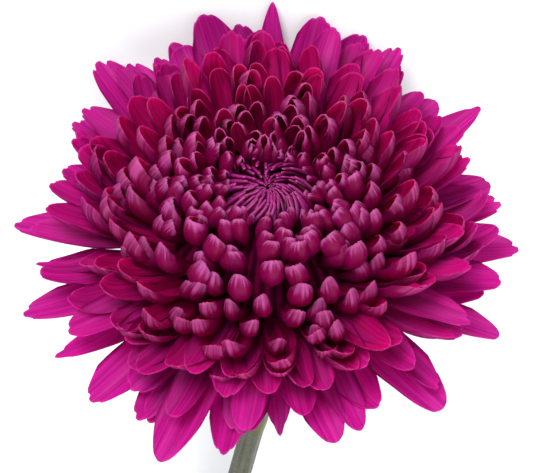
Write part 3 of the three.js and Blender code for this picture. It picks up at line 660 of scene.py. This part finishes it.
class Shading:
    """A small helper that adds and links nodes of one material."""

    def __init__(self, name):
        self.material = bpy.data.materials.new(name)
        self.material.use_nodes = True
        self.tree = self.material.node_tree
        self.tree.nodes.clear()

    def add(self, kind, inputs=None, **settings):
        """A new node with its sockets and its settings."""
        node = self.tree.nodes.new(kind)
        for key, value in settings.items():
            setattr(node, key, value)
        for key, value in (inputs or {}).items():
            self.set(node.inputs[key], value)
        return node

    def set(self, socket, value):
        """Links a socket to another one, or gives it a value. A colour gets its fourth number."""
        if isinstance(value, bpy.types.NodeSocket):
            self.tree.links.new(value, socket)
        else:
            socket.default_value = (*value, 1) if np.size(value) == 3 and socket.type == "RGBA" else value

    def value(self, name):
        """A value stored at the vertices."""
        return self.add("ShaderNodeAttribute", attribute_name=name).outputs["Fac"]

    def math(self, operation, a, b=0.0):
        """The result of one operation on one value or two."""
        node = self.add("ShaderNodeMath", operation=operation)
        for socket, value in zip(node.inputs, (a, b)):
            self.set(socket, value)
        return node.outputs[0]

    def times(self, *values):
        """The product of two values or more."""
        product = values[0]
        for value in values[1:]:
            product = self.math("MULTIPLY", product, value)
        return product

    def between(self, value, low, high, to_low=0.0, to_high=1.0):
        """Eases a value between two limits to two other ones."""
        node = self.add("ShaderNodeMapRange", {
            "Value": value, "From Min": low, "From Max": high, "To Min": to_low, "To Max": to_high,
        }, interpolation_type="SMOOTHSTEP")
        return node.outputs["Result"]

    def mix(self, factor, a, b, blend="MIX"):
        """Colour a at factor 0, and b over it at factor 1."""
        node = self.add("ShaderNodeMix", data_type="RGBA", blend_type=blend)
        self.set(node.inputs[0], factor)
        self.set(node.inputs[6], a)
        self.set(node.inputs[7], b)
        return node.outputs[2]

    def vector(self, x, y, z):
        """A place made of three values."""
        return self.add("ShaderNodeCombineXYZ", {"X": x, "Y": y, "Z": z}).outputs[0]

    def noise(self, vector, scale, detail=2.0, roughness=0.5):
        """Noise from 0 to 1 over a place."""
        node = self.add("ShaderNodeTexNoise", {
            "Vector": vector, "Scale": scale, "Detail": detail, "Roughness": roughness})
        return node.outputs["Fac"]

    def finish(self, shader):
        """The material, with this shader as its surface."""
        self.add("ShaderNodeOutputMaterial", {"Surface": shader})
        return self.material


def petal_noises(s, across, down):
    """Noise in threads that run along a blade, and in broad clouds, unlike from blade to blade."""
    seed = s.value("seed")
    threads = s.vector(s.times(across, s.value("width")), s.times(down, 0.5), seed)
    clouds = s.vector(s.times(across, 1.6), s.times(down, 1.4), seed)
    return s.noise(threads, scale=1.5, detail=4.0, roughness=0.65), s.noise(clouds, scale=1.3)


def back_shade(s, sizes, age, reached, sideways, fine):
    """Back of a blade: crimson, darker near the root as painted shade, with a frost of lilac threads at the
    middle of its tip that is partly its paler lilac and partly a painted highlight.
    """
    # Darker near the root: painted shade where the neighbours crowd, over the back's own crimson
    bare = s.mix(s.between(reached, 0.68, 0.92), sizes.back_low, sizes.back_high)
    nearing = s.math("ADD", reached, s.between(age, 0.2, 0.5, 0.0, 0.06))
    # Lilac frost at the tip: partly the back's paler lilac, partly a painted highlight
    frost_and_highlight = s.times(
        s.between(nearing, 0.945, 1.015), s.between(fine, 0.38, 0.62, 0.35, 1.0),
        s.between(age, 0.15, 0.5, 0.85, 0.5), s.between(sideways, 0.5, 0.9, 1.0, 0.15))
    return s.mix(frost_and_highlight, bare, sizes.back_tip)


def blade_shade(s, sizes, age, down, across, fine, broad):
    """Colour of a blade. Its face is crimson, darker low down and on the young inner florets and lighter
    towards the tip: partly its own crimson and partly painted shade deep in the bloom. Its back is darker
    near the root by the same painted shade, with a lilac frost at the tip that is partly its paler lilac
    and partly a painted highlight. The eye's florets are pale along their crest as a painted highlight and
    dark at their sides as painted shade between them, and the oldest blades turn magenta. Veins, lilac
    clouds that are partly random tone and partly painted sheen, dark margins of painted shade over the thin
    edges, and a pale rim of the young tips as a painted highlight lie over that."""
    face, sideways = s.value("face"), s.math("ABSOLUTE", across)
    reached = s.math("ADD", down, s.times(s.math("SUBTRACT", fine, 0.5), 0.16))
    upward = s.between(reached, 0.35, 0.9)
    # The face is darker low down and on the young inner florets: painted shade deep in the bloom over its
    # own crimson
    inside = s.times(upward, s.between(age, 0.3, 0.65, 0.5, 1.0))
    back = back_shade(s, sizes, age, reached, sideways, fine)
    colour = s.mix(face, back, s.mix(inside, sizes.face_low, sizes.face_high))
    # Eye florets pale along the crest as a painted highlight and dark at the sides as painted shade between
    # them
    crest = s.times(s.between(sideways, 0.15, 0.75, 1.0, 0.0), s.between(reached, 0.2, 0.9, 0.5, 1.0))
    colour = s.mix(s.value("eye"), colour, s.mix(crest, sizes.eye_low, sizes.eye_tip))
    old = s.times(s.between(age, 0.60, 0.98, 0.0, 0.95), upward)
    colour = s.mix(old, colour, s.mix(face, sizes.outer_back, sizes.outer))
    depth = s.between(age, 0.3, 0.8, 0.08, 0.26)
    veins = s.between(fine, 0.36, 0.66, s.math("SUBTRACT", 0.95, depth), s.math("ADD", 0.95, depth))
    grey = s.add("ShaderNodeCombineColor", {"Red": veins, "Green": veins, "Blue": veins})
    colour = s.mix(1.0, colour, grey.outputs[0], "MULTIPLY")
    # Lilac clouds: partly random tone, partly painted sheen
    patch = s.times(s.between(broad, 0.45, 0.75, 0.0, 0.4), s.between(age, 0.5, 0.9, 0.3, 1.0))
    colour = s.mix(patch, colour, s.mix(s.between(age, 0.6, 1.0), *LILAC_SHEEN_PATCHES))
    # Dark margins: painted shade over the thin edges that catch the light
    margin = s.between(sideways, 0.80, 1.0, 0.0, 0.85)
    colour = s.mix(margin, colour, s.mix(s.between(age, 0.3, 0.8), *PAINTED_MARGIN_SHADES))
    # Pale rim at the young tips: painted highlight
    rim = s.times(
        s.between(down, 0.96, 1.0), s.between(sideways, 0.4, 0.8, 0.4, 0.0),
        s.between(age, 0.4, 0.7, 1.0, 0.0))
    return s.mix(rim, colour, PALE_RIM_HIGHLIGHT)


def petal_finish(name, sizes, gloss, shine=0.2):
    """Skin of a floret, ribbed by its fine threads, with light that shows through. The share of
    that light grows with age, and its colour turns from crimson to magenta."""
    s = Shading(name)
    age, down, across = s.value("age"), s.value("along"), s.value("across")
    fine, broad = petal_noises(s, across, down)
    colour = blade_shade(s, sizes, age, down, across, fine, broad)
    bump = s.add("ShaderNodeBump", {"Height": fine, "Strength": 0.5, "Distance": BUMP_DEPTH}).outputs[0]
    skin = s.add("ShaderNodeBsdfPrincipled", {
        "Base Color": colour, "Roughness": gloss, "Normal": bump, "IOR": 1.38,
        "Specular IOR Level": shine}).outputs[0]
    glow = s.mix(s.between(age, 0.45, 0.9), *GLOW)
    through = s.add("ShaderNodeBsdfTranslucent", {
        "Color": s.mix(0.5, colour, glow), "Normal": bump}).outputs[0]
    both = s.add("ShaderNodeMixShader", {0: s.between(age, 0.1, 1.0, 0.47, 0.55), 1: skin, 2: through})
    return s.finish(both.outputs[0])


def green_finish(name, colour, dark, pale):
    """Green skin with fine lengthwise streaks and small pale flecks, from vertex values along and
    around. Where it is dry it turns olive and then brown, and where it is cut it shows pale pith."""
    s = Shading(name)
    around, down, dry = s.value("across"), s.value("along"), s.value("dry")
    lines = s.vector(s.times(around, 9.0), s.times(down, 1.2), 0.0)
    streak = s.noise(lines, scale=1.6, detail=5.0, roughness=0.6)
    coord = s.add("ShaderNodeTexCoord").outputs["Object"]
    shade = s.mix(s.between(streak, 0.38, 0.62), dark, colour)
    shade = s.mix(s.between(streak, 0.58, 0.75, 0.0, 0.6), shade, pale)
    flecks = s.noise(coord, scale=2600.0)
    shade = s.mix(s.between(flecks, 0.62, 0.72, 0.0, 0.35), shade, pale)
    shade = s.mix(s.between(dry, 0.0, 0.5), shade, DRY_OLIVE)
    shade = s.mix(s.between(dry, 0.5, 1.0), shade, DRY_BROWN)
    pores = s.noise(coord, scale=900.0, detail=3.0)
    shade = s.mix(s.value("cut"), shade, s.mix(s.between(pores, 0.35, 0.65), *PITH))
    bump = s.add("ShaderNodeBump", {"Height": streak, "Strength": 0.6, "Distance": BUMP_DEPTH}).outputs[0]
    skin = s.add("ShaderNodeBsdfPrincipled", {
        "Base Color": shade, "Roughness": 0.48, "Normal": bump, "Sheen Weight": 0.15,
        "Specular IOR Level": 0.4})
    return s.finish(skin.outputs[0])


def add_florets(name, traits, rows, columns, gloss):
    """Makes one piece of ray florets and lets it stand for the bloom."""
    sizes = bpy.context.scene.chrysanthemum_florets
    upper, lower, u, v = floret_blades(traits, rows, columns, sizes)
    points, quads = skins(upper, lower)
    k = traits["k"]
    values = blade_values(
        u, v, len(k), age=traits["age"], seed=k * RAY_SEED, width=traits["half"], eye=0.0)
    material = petal_finish(f"{name} blades", sizes, gloss)
    stand_for(add_mesh(name, points, quads, values, material), "bloom")


class ChrysanthemumHeart(bpy.types.Operator):
    """Add the dark heart of packed floret tubes that the blades stand out of"""

    bl_idname = "chrysanthemum.heart"
    bl_label = "Heart"

    def execute(self, context):
        heart = add_mesh("heart", *heart_surface(), heart_finish())
        stand_for(heart, "bloom")
        return {"FINISHED"}


def heart_surface():
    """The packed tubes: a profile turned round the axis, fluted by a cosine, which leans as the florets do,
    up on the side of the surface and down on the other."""
    r, azimuth, height = turned_profile(HEART_PROFILE, stations=40, sides=288)
    poles = RECEPTACLE + height[[0, -1], :1] * AXIS
    r, azimuth, height = r[1:-1], azimuth[1:-1], height[1:-1]
    h = height + CORE_LEAN * np.maximum(0, r - CORE_UPRIGHT) * np.sin(azimuth)
    fluted = r + FLUTE_DEPTH * np.cos(FLUTE_COUNT * azimuth) * smooth(r / FLUTE_START)
    points, quads = revolved(from_axis(fluted, azimuth, h), *poles)
    return points, quads, {"across": np.append(azimuth.ravel(), [0, 0])}


def heart_finish():
    """Dark crimson that paints the shade deep in the bloom over the tubes' own colour, and darker between
    the tubes as painted shade.
    """
    s = Shading("packed tubes")
    flutes = s.math("COSINE", s.times(s.value("across"), FLUTE_COUNT))
    # Darker between the tubes: painted shade in the grooves, over a dark crimson that paints the bloom's
    # depths
    colour = s.mix(s.between(flutes, -1.0, 1.0), *TUBE_PAINTED_SHADES)
    skin = s.add("ShaderNodeBsdfPrincipled", {
        "Base Color": colour, "Roughness": 0.9, "Specular IOR Level": 0.0})
    return s.finish(skin.outputs[0])


class ChrysanthemumEye(bpy.types.Operator):
    """Add the closed florets that lie over the eye"""

    bl_idname = "chrysanthemum.eye"
    bl_label = "Eye florets"

    def execute(self, context):
        sizes = context.scene.chrysanthemum_florets
        j = np.arange(sizes.eye_count)
        u, v = even_grid(rows=16, columns=9)
        points, quads = skins(*eye_blades(j, (j + 0.5) / sizes.eye_count, u, v))
        values = blade_values(u, v, len(j), age=0.0, seed=j * EYE_SEED, width=1.0, eye=1.0)
        material = petal_finish("eye blades", sizes, gloss=0.32, shine=0.55)
        stand_for(add_mesh("eye_florets", points, quads, values, material), "bloom")
        return {"FINISHED"}


def eye_blades(j, share, u, v):
    """Upper and lower skin of the eye's florets. Each lies over the dome of the eye on a path whose
    angle from the axis runs evenly from the dome's rim to near its top while it turns a little
    round the axis; its section is an arc rolled over a right angle each way, and it tapers."""
    share, j = share[:, None, None], j[:, None, None]
    start = j * GOLDEN_ANGLE + 0.10 * draw(j, 21)
    outer = np.radians(60 + 55 * share**0.6)
    inner = np.radians(4 + 36 * share + 8 * share * draw(j, 23))
    swirl = np.radians(EYE_SWIRL + 20 * draw(j, 22))
    radius = EYE_RADIUS * (0.35 + 0.65 * np.sqrt(share))

    def path(s):
        """Places at shares s of the paths, and directions away from the dome there."""
        tilt = outer * (1 - s) + inner * s
        azimuth = start + swirl * s**1.6
        lift = 0.2 + 1.9 * share + 0.3 * s
        height = EYE_HEIGHT + (EYE_RISE + lift) * np.cos(tilt) * (0.6 + 0.4 * share)
        away = np.sin(tilt)[..., None] * radial_at(azimuth) + np.cos(tilt)[..., None] * AXIS
        return from_axis((radius + lift) * np.sin(tilt), azimuth, height), away

    s = u * (1 - 0.06 * v**2)
    place, away = path(s)
    way = unit(path(s + 1e-3)[0] - place)
    side = unit(np.cross(way, away))
    away = np.cross(side, way)
    flat = (0.42 + 0.68 * share) * (1 + 0.2 * draw(j, 24))
    flat = flat * (1 - 0.45 * s**3) * (0.8 + 0.2 * smooth(s / 0.3))
    turned = v * EYE_ROLL
    radius_in = flat / EYE_ROLL
    middle = (place + (radius_in * np.sin(turned))[..., None] * side
              - (radius_in * (1 - np.cos(turned)))[..., None] * away)
    normal = np.cos(turned)[..., None] * away + np.sin(turned)[..., None] * side
    half_thick = normal * EYE_THICKNESS / 2
    return middle - half_thick, middle + half_thick


class ChrysanthemumInner(bpy.types.Operator):
    """Add the inner florets, hooded and turned in over the eye"""

    bl_idname = "chrysanthemum.inner"
    bl_label = "Inner florets"

    def execute(self, context):
        add_florets("inner_florets", rule_florets(FIRST_KNOB, INNER_END), rows=22, columns=15, gloss=0.38)
        return {"FINISHED"}


class ChrysanthemumMiddle(bpy.types.Operator):
    """Add the middle florets, half open with turned-in tips"""

    bl_idname = "chrysanthemum.middle"
    bl_label = "Middle florets"

    def execute(self, context):
        traits = rule_florets(INNER_END, MIDDLE_END)
        add_florets("middle_florets", traits, rows=22, columns=17, gloss=0.42)
        return {"FINISHED"}


class ChrysanthemumOuter(bpy.types.Operator):
    """Add the outer florets, broad and nearly flat"""

    bl_idname = "chrysanthemum.outer"
    bl_label = "Outer florets"

    def execute(self, context):
        rule = rule_florets(MIDDLE_END, RULE_END)
        ring = ring_florets()
        traits = {name: np.concatenate([rule[name], ring[name]]) for name in rule}
        add_florets("outer_florets", traits, rows=21, columns=17, gloss=0.46)
        return {"FINISHED"}


class ChrysanthemumInvolucre(bpy.types.Operator):
    """Add the green cup under the bloom and its rows of bracts"""

    bl_idname = "chrysanthemum.involucre"
    bl_label = "Involucre"

    def execute(self, context):
        greens = context.scene.chrysanthemum_greens
        material = green_finish("bract skin", greens.bract_green, *BRACT_STREAKS)
        cup = add_mesh("involucre_cup", *cup_surface(), material)
        stand_for(cup, "involucre")
        u, v = even_grid(rows=12, columns=9)
        rows = [bract_blades(row, number * 0.5, u, v) for number, row in enumerate(BRACT_ROWS)]
        upper, lower = (np.concatenate(skin) for skin in zip(*rows))
        points, quads = skins(upper, lower)
        values = blade_values(u, v, len(upper))
        values["dry"] = smooth((np.abs(values["across"]) - 0.62) / 0.3) * 0.9
        values["cut"] = 0 * values["across"]
        bracts = add_mesh("bracts", points, quads, values, material)
        stand_for(bracts, "involucre")
        return {"FINISHED"}


def cup_surface():
    """The cup: its profile turned round the bloom's axis, with its poles at the profile's ends."""
    r, turn, h = turned_profile(CUP_PROFILE[1:-1], stations=26, sides=64)
    points, quads = revolved(from_axis(r, turn, h), *(RECEPTACLE + h[[0, -1], :1] * AXIS))
    none = np.zeros(len(points))
    values = {
        "along": np.append(h.ravel() / -CUP_PROFILE[0][1], [0, 0]),
        "across": np.append(turn.ravel(), [0, 0]), "dry": none, "cut": none,
    }
    return points, quads, values


def bract_blades(row, turn, u, v):
    """Upper and lower skin of one row of bracts. A bract runs from the cup to its reach, narrows
    to a point, is hollow towards the bloom, and parts from the cup at its tip."""
    azimuth = ((np.arange(row["count"]) + turn) * 2 * math.pi / row["count"])[:, None, None]
    s = u * (1 - 0.3 * np.abs(v) ** 1.5)
    height = row["root"] + (row["tip"] - row["root"]) * s
    foot = BRACT_FOOT + BRACT_FOOT_SLOPE * row["root"]
    radius = foot + (row["reach"] - foot) * s
    flat = row["half"] * (0.75 + 0.4 * np.sin(math.pi * s) - 0.5 * s**3)
    wide = azimuth + v * flat / np.maximum(radius, 1)
    lift = 0.5 * v**2 * flat / row["half"]
    out = math.atan2(row["tip"] - row["root"], row["reach"] - foot)
    away = math.cos(out) * -AXIS + math.sin(out) * radial_at(wide)
    middle = from_axis(radius, wide, height) + away * (0.25 - lift)[..., None]
    half_thick = away * (BRACT_THICKNESS * (1 - 0.7 * v**2) * (1 - 0.5 * u))[..., None] / 2
    return middle - half_thick, middle + half_thick


class ChrysanthemumStem(bpy.types.Operator):
    """Add the ribbed stem with its leaf scars, cut end and short hairs"""

    bl_idname = "chrysanthemum.stem"
    bl_label = "Stem"

    def execute(self, context):
        greens = context.scene.chrysanthemum_greens
        skin = green_finish("stem skin", greens.stem_green, *STEM_STREAKS)
        stand_for(add_mesh("stem_skin", *stem_surface(), skin), "stem")
        hair = green_finish("stem hairs", HAIR_GREEN, *HAIR_STREAKS)
        stand_for(add_mesh("stem_hairs", *stem_hairs(greens), hair), "stem")
        return {"FINISHED"}


def stem_line(along_mm):
    """The middle of the stem at lengths along it: an arc in the upright plane of the axis, whose
    rise turns evenly, and a lean to the left that eases in past the upper node."""
    past = along_mm + STEM_START - NODE_PLACE
    start = math.hypot(STEM_START - NODE_PLACE, NODE_SOFTNESS) + STEM_START - NODE_PLACE
    lean = math.tan(NODE_LEAN) * (np.hypot(past, NODE_SOFTNESS) + past - start) / 2
    rise = AXIS_RISE + (STEM_END_RISE - AXIS_RISE) * along_mm / STEM_LENGTH
    return np.stack([
        STEM_TOP[0] - lean,
        STEM_TOP[1] - STEM_ARC * (math.sin(AXIS_RISE) - np.sin(rise)),
        STEM_TOP[2] - STEM_ARC * (np.cos(rise) - math.cos(AXIS_RISE)),
    ], -1)


def stem_way(along_mm):
    """Directions along the stem: from each place to one a little further on."""
    return unit(stem_line(along_mm + 0.05) - stem_line(along_mm))


def from_scar(scar, along_mm, azimuth):
    """How far past a scar each place is along the stem, and how far it faces the same way: the
    cosine of the angle between them."""
    return along_mm + STEM_START - scar["along"], np.cos(azimuth - math.radians(scar["azimuth"]))


def stem_skin(along_mm, azimuth, inset=0.0):
    """Places and outward directions on the stem: a radius that grows from the neck, ribs as a
    cosine round it with finer ones between, slow waves as a sine along it, and a low swelling at
    the bud's scar and at each leaf scar."""
    way = stem_way(along_mm)
    side = unit(np.cross(way, UNDER))
    top = np.cross(side, way)
    radius = NECK_RADIUS + (STEM_RADIUS - NECK_RADIUS) * smooth(along_mm / NECK_LENGTH)
    radius = radius + RIB_DEPTH * np.cos(RIB_COUNT * azimuth)
    radius = radius + FINE_DEPTH * np.cos(5 * RIB_COUNT * azimuth) - inset
    radius = radius + FINE_DEPTH * np.sin(along_mm * 0.35) * np.cos(2 * azimuth + along_mm * 0.02)
    past, facing = from_scar(BUD_SCAR, along_mm, azimuth)
    bulge = BUD_SCAR["height"] * bell(past / (BUD_SCAR["length"] + 0.8))
    radius = radius + bulge * smooth(facing)
    for scar in SCARS:
        past, facing = from_scar(scar, along_mm, azimuth)
        radius = radius + scar["height"] * smooth(1 - np.abs(past) / scar["length"]) * smooth(facing)
    outward = np.cos(azimuth)[..., None] * side + np.sin(azimuth)[..., None] * top
    return stem_line(along_mm) + radius[..., None] * outward, outward


def stem_surface():
    """The stem's skin from the neck to the bevelled cut, closed by a flat cut face of rings."""
    before_end, inset = np.array(CUT_BEVEL).T
    stations = np.linspace(0, STEM_LENGTH - before_end[0], STEM_STATIONS)
    stations = np.append(stations, STEM_LENGTH - before_end[1:])
    inset = np.append(np.zeros(STEM_STATIONS), inset[1:])
    turn = np.linspace(2 * math.pi, 0, STEM_SIDES, endpoint=False)
    along_mm, azimuth = np.meshgrid(stations, turn, indexing="ij")
    rings, _ = stem_skin(along_mm, azimuth, inset[:, None])
    rings[..., 2] = np.maximum(rings[..., 2], STEM_GAP)
    end = rings[-1].mean(0)
    whole = np.concatenate([rings, [end + (rings[-1] - end) * share for share in CUT_RINGS]])
    points, quads = revolved(whole, rings[0].mean(0), end)
    face = np.full(len(CUT_RINGS) * STEM_SIDES, STEM_LENGTH)
    down = np.append(np.append(along_mm, face) / STREAK_LENGTH, [0, 0])
    around = np.append(np.tile(turn, len(whole)), [0, 0])
    skin = along_mm.size
    dry = np.append(bud_scar(along_mm, azimuth), np.zeros(len(points) - skin))
    cut = np.ones(len(points))
    cut[:skin] = cut[-2] = 0
    return points, quads, {"along": down, "across": around, "dry": dry, "cut": cut}


def bud_scar(along_mm, azimuth):
    """Dryness round the scar under the bloom: an olive patch, a bell in length and facing, half
    dry, with a brown line across the stem at its lower edge."""
    past, facing = from_scar(BUD_SCAR, along_mm, azimuth)
    patch = BUD_SCAR["dry"] * bell(past / BUD_SCAR["length"]) * smooth(facing)
    line = bell((past - BUD_SCAR["length"]) / 0.6) * smooth(2 * smooth(facing))
    return np.maximum(patch, line)


def stem_hairs(greens):
    """Short hairs: slim three-sided spikes with their roots in the skin, each leaning a little."""
    rng = np.random.default_rng(7)
    n = greens.hair_count
    along_mm, azimuth = rng.uniform(0.5, STEM_LENGTH - 1, n), rng.uniform(0, 2 * math.pi, n)
    root, outward = stem_skin(along_mm, azimuth)
    way = stem_way(along_mm)
    length = greens.hair_length / MM * rng.uniform(0.5, 1.4, n)[:, None]
    tip = root + (outward + rng.normal(0, HAIR_LEAN, (n, 3)) + 0.2 * way) * length
    around = np.cross(outward, way)
    corners = [root - outward * HAIR_ROOT + HAIR_RADIUS * (math.cos(a) * way + math.sin(a) * around)
               for a in (0, 2 * math.pi / 3, 4 * math.pi / 3)]
    points = np.stack([*corners, tip], 1)
    points[..., 2] = np.maximum(points[..., 2], HAIR_GAP)
    faces = np.array([[0, 2, 1], [0, 1, 3], [1, 2, 3], [2, 0, 3]])
    faces = (faces + (np.arange(n) * 4)[:, None, None]).reshape(-1, 3)
    values = dict.fromkeys(("along", "across", "dry", "cut"), np.zeros(4 * n))
    return points.reshape(-1, 3) * MM, faces, values


class ChrysanthemumStudio(bpy.types.Operator):
    """Add the floor, the soft lights and the camera"""

    bl_idname = "chrysanthemum.studio"
    bl_label = "Floor, lights and camera"

    def execute(self, context):
        stage = context.scene.chrysanthemum_stage
        floor = add_mesh("floor", *floor_plane(), floor_finish(stage.floor_colour))
        middle = Vector(RECEPTACLE * MM)
        add_area_light("key light", middle, stage.key_power, **KEY_LIGHT)
        add_area_light("fill light", middle, stage.fill_power, **FILL_LIGHT)
        world = bpy.data.worlds.new("studio")
        world.use_nodes = True
        background = world.node_tree.nodes["Background"]
        background.inputs["Color"].default_value = SKY_COLOUR
        background.inputs["Strength"].default_value = stage.sky
        context.scene.world = world
        context.scene.view_settings.view_transform = "Standard"
        add_camera(context.scene, stage, middle)
        return {"FINISHED"}


def floor_plane(half=3.0):
    """One large quad at height 0."""
    points = np.array([[-half, -half, 0], [half, -half, 0], [half, half, 0], [-half, half, 0]])
    return points, np.array([[0, 1, 2, 3]]), {}


def floor_finish(colour):
    """Plain matt floor."""
    s = Shading("floor")
    skin = s.add("ShaderNodeBsdfPrincipled", {"Base Color": tuple(colour), "Roughness": 0.8})
    return s.finish(skin.outputs[0])


def add_area_light(name, aim, power, place, size):
    """Adds a square soft light that faces the aim."""
    light = bpy.data.lights.new(name, "AREA")
    light.size = size
    light.energy = power
    obj = bpy.data.objects.new(name, light)
    obj.location = place
    obj.rotation_euler = (aim - Vector(place)).to_track_quat("-Z", "Y").to_euler()
    bpy.context.scene.collection.objects.link(obj)


def add_camera(scene, stage, middle):
    """Looks at the bloom from over its face, with the far end of the flower at the top. The
    middle of the picture is set off from the receptacle by the receptacle's own pixel."""
    up_from_axis = Vector(-UNDER)
    view = math.cos(stage.view_tilt) * Vector(AXIS) + math.sin(stage.view_tilt) * up_from_axis
    right = Vector(ACROSS)
    up = view.cross(right)
    wide, high = PICTURE
    target = (middle - (RECEPTACLE_PIXEL[0] - wide / 2) * stage.pixel * right
              + (RECEPTACLE_PIXEL[1] - high / 2) * stage.pixel * up)
    camera = bpy.data.cameras.new("camera")
    camera.sensor_width = 36.0
    camera.lens = camera.sensor_width * stage.distance / (wide * stage.pixel)
    camera.clip_start = 0.01
    obj = bpy.data.objects.new("camera", camera)
    turned = Matrix((right, up, view)).transposed().to_4x4()
    obj.matrix_world = Matrix.Translation(target + stage.distance * view) @ turned
    scene.collection.objects.link(obj)
    scene.camera = obj


class ChrysanthemumPanel(bpy.types.Panel):
    """Lists the flower's pieces and its stage"""

    bl_idname = "VIEW3D_PT_chrysanthemum"
    bl_label = "Cremon chrysanthemum"
    bl_space_type = "VIEW_3D"
    bl_region_type = "UI"
    bl_category = "Chrysanthemum"

    def draw(self, context):
        for operator in OPERATORS:
            self.layout.operator(operator.bl_idname)
        scene = context.scene
        for group in (scene.chrysanthemum_florets, scene.chrysanthemum_greens, scene.chrysanthemum_stage):
            box = self.layout.box()
            for name in group.__annotations__:
                box.prop(group, name)


GROUPS = {
    "chrysanthemum_florets": ChrysanthemumFlorets,
    "chrysanthemum_greens": ChrysanthemumGreens,
    "chrysanthemum_stage": ChrysanthemumStage,
}
OPERATORS = (
    ChrysanthemumHeart, ChrysanthemumEye, ChrysanthemumInner, ChrysanthemumMiddle,
    ChrysanthemumOuter, ChrysanthemumInvolucre, ChrysanthemumStem, ChrysanthemumStudio,
)


def register():
    """Registers the settings, the operators and the panel."""
    for cls in (*GROUPS.values(), *OPERATORS, ChrysanthemumPanel):
        bpy.utils.register_class(cls)
    for name, group in GROUPS.items():
        setattr(bpy.types.Scene, name, bpy.props.PointerProperty(type=group))


def unregister():
    """Takes all of it out again."""
    for name in GROUPS:
        delattr(bpy.types.Scene, name)
    for cls in (ChrysanthemumPanel, *reversed(OPERATORS), *reversed(GROUPS.values())):
        bpy.utils.unregister_class(cls)


def main():
    """Makes every piece in order."""
    register()
    bpy.ops.chrysanthemum.studio()
    bpy.ops.chrysanthemum.heart()
    bpy.ops.chrysanthemum.eye()
    bpy.ops.chrysanthemum.inner()
    bpy.ops.chrysanthemum.middle()
    bpy.ops.chrysanthemum.outer()
    bpy.ops.chrysanthemum.involucre()
    bpy.ops.chrysanthemum.stem()


if __name__ == "__main__":
    main()
